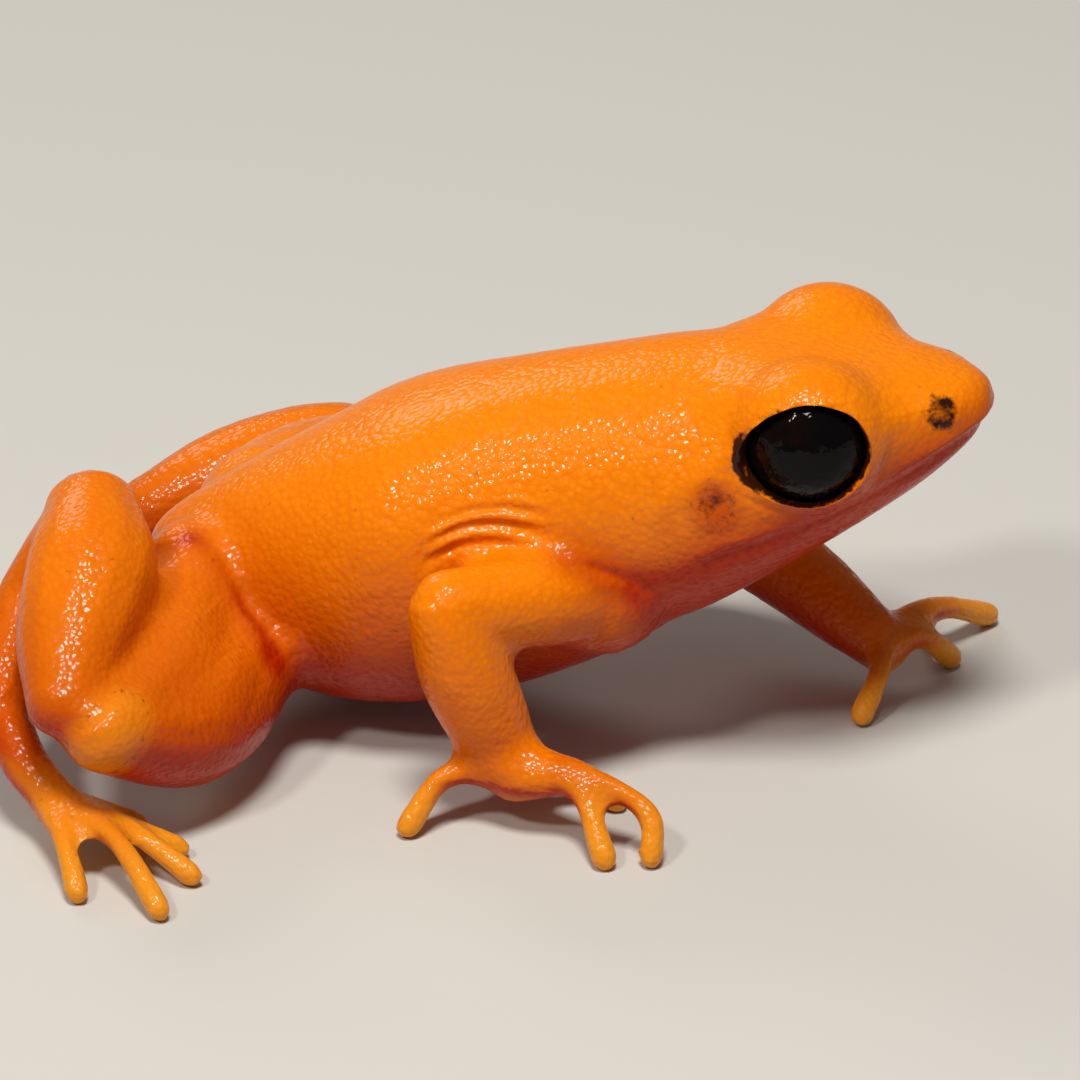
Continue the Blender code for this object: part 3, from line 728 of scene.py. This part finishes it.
skinLook = {
    "top": (0.95, 0.25, 0.0003, 1),
    # deep orange, mostly used as painted shade
    "deepAndShade": (0.4, 0.012, 0.0001, 1),
    "grain": (0.68, 0.085, 0.0003, 1),
    "pale": (0.82, 0.29, 0.014, 1),
    "brown": (0.025, 0.004, 0.0015, 1),
    "patches": (420.0, 4.0, 0.6),  # scale, detail and roughness
    "patchMean": 0.5,
    "patchSwing": 0.35,
    "flecks": (2600.0, 3.0, 0.65),
    "fleckMean": 0.53,
    "fleckSwing": 1.9,
    "grainScale": 5200.0,
    "grainTone": (0.1, 0.7, 0.0, 0.22),  # from, to, becomes, becomes
    "brownTone": (0.25, 0.75, 0.0, 0.99),
    "roughness": (0.3, 0.7, 0.26, 0.44),
    "bump": 0.05,
    "grainBump": 0.6,
    "crinkleBump": 0.25,
    "specular": 0.07,
    "coat": 0.32,
    "coatRoughness": 0.09,
    "subsurface": 0.12,
    "subsurfaceRadius": (1.0, 0.28, 0.06),
    "subsurfaceScale": 0.6,
}


def dressSkin(skin):
    material, tree, shader = makeMaterial("golden skin")
    tone = addNode(tree, "ShaderNodeVertexColor", {}, layer_name="skinToneAndShade").outputs["Color"]
    tones = addNode(tree, "ShaderNodeSeparateColor", {"Color": tone}).outputs
    where = addNode(tree, "ShaderNodeTexCoord", {}).outputs["Object"]
    patches = addNoise(tree, where, *skinLook["patches"])
    flecks = addNoise(tree, where, *skinLook["flecks"])
    inputs = {"Vector": where, "Scale": skinLook["grainScale"]}
    grains = addNode(tree, "ShaderNodeTexVoronoi", inputs, feature="F1").outputs["Distance"]
    # painted shade deepens the orange towards the belly and undersides, broken by soft random patches
    uneven = addMath(tree, "SUBTRACT", patches, skinLook["patchMean"])
    uneven = addMath(tree, "MULTIPLY", uneven, skinLook["patchSwing"])
    depth = addMath(tree, "ADD", tones["Red"], uneven, use_clamp=True)
    colour = addMix(tree, depth, skinLook["top"], skinLook["deepAndShade"])
    colour = addMix(tree, addRange(tree, grains, *skinLook["grainTone"]), colour, skinLook["grain"])
    colour = addMix(tree, tones["Green"], colour, skinLook["pale"])
    # brown mottling breaks up into flecks
    mottle = addMath(tree, "SUBTRACT", flecks, skinLook["fleckMean"])
    mottle = addMath(tree, "MULTIPLY_ADD", mottle, skinLook["fleckSwing"], tones["Blue"])
    mottle = addRange(tree, mottle, *skinLook["brownTone"])
    colour = addMix(tree, mottle, colour, skinLook["brown"])
    tree.links.new(colour, shader.inputs["Base Color"])
    tree.links.new(addRange(tree, flecks, *skinLook["roughness"]), shader.inputs["Roughness"])
    # fine grains, and a still finer crinkle over them
    fine = addBump(tree, grains, skinLook["grainBump"], skinLook["bump"], invert=True)
    crinkle = addBump(tree, flecks, skinLook["crinkleBump"], skinLook["bump"], fine)
    tree.links.new(crinkle, shader.inputs["Normal"])
    tree.links.new(crinkle, shader.inputs["Coat Normal"])
    shader.inputs["Specular IOR Level"].default_value = skinLook["specular"]
    shader.inputs["Coat Weight"].default_value = skinLook["coat"]
    shader.inputs["Coat Roughness"].default_value = skinLook["coatRoughness"]
    shader.inputs["Subsurface Weight"].default_value = skinLook["subsurface"]
    shader.inputs["Subsurface Radius"].default_value = skinLook["subsurfaceRadius"]
    shader.inputs["Subsurface Scale"].default_value = skinLook["subsurfaceScale"] * mm
    skin.data.materials.clear()
    skin.data.materials.append(material)


dressSkin(skin)
skin.name = "skin"
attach(skin, "root")
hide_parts(*flesh)

print("eyes")
eyeLook = {
    "dark": (0.002, 0.0016, 0.0018, 1),
    "warm": (0.012, 0.0025, 0.0015, 1),
    "streaks": (2200.0, 5.0, 0.7),  # scale, detail and roughness
    "clouds": (500.0, 2.0, 0.5),
    "warmShare": (0.25, 0.45, 0.0, 0.5),
    "film": (2600.0, 2.0, 0.45),
    "filmStrength": 0.6,
    "filmBump": 0.09,
    "roughness": 0.04,
    "ior": 1.22,
}


def makeEye(name, middle):
    bpy.ops.object.select_all(action="DESELECT")
    bpy.ops.mesh.primitive_uv_sphere_add(
        segments=64,
        ring_count=40,
        radius=eyeSize["radius"] * mm,
        location=middle,
        rotation=(math.pi / 2, 0, 0),
    )
    eye = bpy.context.view_layer.objects.active
    bpy.ops.object.transform_apply(location=True, rotation=True, scale=True)
    bpy.ops.object.shade_smooth()
    eye.name = name
    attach(eye, "root")
    return eye


def dressEyes(eyes):
    material, tree, shader = makeMaterial("dark eye")
    where = addNode(tree, "ShaderNodeTexCoord", {}).outputs["Object"]
    streaks = addNoise(tree, where, *eyeLook["streaks"])
    clouds = addNoise(tree, where, *eyeLook["clouds"])
    share = addMath(tree, "MULTIPLY", streaks, clouds)
    share = addRange(tree, share, *eyeLook["warmShare"])
    tree.links.new(addMix(tree, share, eyeLook["dark"], eyeLook["warm"]), shader.inputs["Base Color"])
    shader.inputs["Roughness"].default_value = eyeLook["roughness"]
    shader.inputs["IOR"].default_value = eyeLook["ior"]
    film = addNoise(tree, where, *eyeLook["film"])
    film = addBump(tree, film, eyeLook["filmStrength"], eyeLook["filmBump"])
    tree.links.new(film, shader.inputs["Normal"])
    for eye in eyes:
        eye.data.materials.clear()
        eye.data.materials.append(material)


eyeRight = makeEye("eyeRight", eyeRightMiddle)
eyeLeft = makeEye("eyeLeft", eyeLeftMiddle)
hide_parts("eye_right")
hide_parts("eye_left")
dressEyes([eyeRight, eyeLeft])

print("floor, light and camera")
floorSize = {"half": 1.5, "colour": (0.6, 0.59, 0.565, 1), "roughness": 0.9}
bpy.ops.object.select_all(action="DESELECT")
bpy.ops.mesh.primitive_plane_add(size=floorSize["half"] * 2, location=(0, 0, 0))
floor = bpy.context.view_layer.objects.active
floor.name = "floor"
floorMaterial, floorTree, floorShader = makeMaterial("pale floor")
floorShader.inputs["Base Color"].default_value = floorSize["colour"]
floorShader.inputs["Roughness"].default_value = floorSize["roughness"]
floor.data.materials.append(floorMaterial)

# lamps in metres and watts
lampLook = {"target": (0, 0, 0.005), "colour": (1, 0.97, 0.9)}
lamps = {
    "overhead": {"place": (0.01, -0.08, 0.25), "size": 0.07, "power": 0.52},
    "front": {"place": (-0.09, -0.15, 0.21), "size": 0.035, "power": 0.2},
    "behind": {"place": (-0.15, 0.2, 0.18), "size": 0.12, "power": 0.15},
}
room = {"colour": (1.0, 0.96, 0.9, 1), "strength": 0.14}


def addLamp(name, place, size, power):
    data = bpy.data.lights.new(name, "AREA")
    data.shape = "DISK"
    data.size = size
    data.energy = power
    data.color = lampLook["colour"]
    lamp = bpy.data.objects.new(name, data)
    bpy.context.scene.collection.objects.link(lamp)
    lamp.location = place
    aim = Vector(lampLook["target"]) - Vector(place)
    lamp.rotation_euler = aim.to_track_quat("-Z", "Y").to_euler()


for name, lamp in lamps.items():
    addLamp(name, **lamp)
world = bpy.data.worlds.new("soft room")
world.use_nodes = True
background = world.node_tree.nodes["Background"]
background.inputs["Color"].default_value = room["colour"]
background.inputs["Strength"].default_value = room["strength"]
bpy.context.scene.world = world
bpy.context.scene.view_settings.view_transform = "Standard"

cameraView = {
    "around": 8,  # degrees the view turns from the frog's right side
    "above": 27,
    "distance": 0.2,
    "pixelsPerMm": 37.5,
    "anchor": (0, -5.5, 1.4),  # this place of the frog is at this pixel of the photo
    "anchorPixel": (500, 762),
    "photo": 1080,
    "sensor": 36,
    "nearest": 0.005,
    "farthest": 10,
}


def addCamera():
    around, above = math.radians(cameraView["around"]), math.radians(cameraView["above"])
    right = Vector((math.cos(around), math.sin(around), 0))
    up = Vector((-math.sin(around) * math.sin(above), math.cos(around) * math.sin(above), math.cos(above)))
    back = right.cross(up)
    middle = cameraView["photo"] / 2
    px, py = cameraView["anchorPixel"]
    aim = frogOrigin + Vector(cameraView["anchor"]) * mm
    aim += right * (middle - px) / cameraView["pixelsPerMm"] * mm
    aim += up * (py - middle) / cameraView["pixelsPerMm"] * mm
    width = cameraView["photo"] / cameraView["pixelsPerMm"] * mm
    data = bpy.data.cameras.new("camera")
    data.sensor_width = cameraView["sensor"]
    data.lens = cameraView["sensor"] * cameraView["distance"] / width
    data.clip_start = cameraView["nearest"]
    data.clip_end = cameraView["farthest"]
    camera = bpy.data.objects.new("camera", data)
    bpy.context.scene.collection.objects.link(camera)
    camera.matrix_world = Matrix((right, up, back)).transposed().to_4x4()
    camera.location = aim + back * cameraView["distance"]
    bpy.context.scene.camera = camera


addCamera()
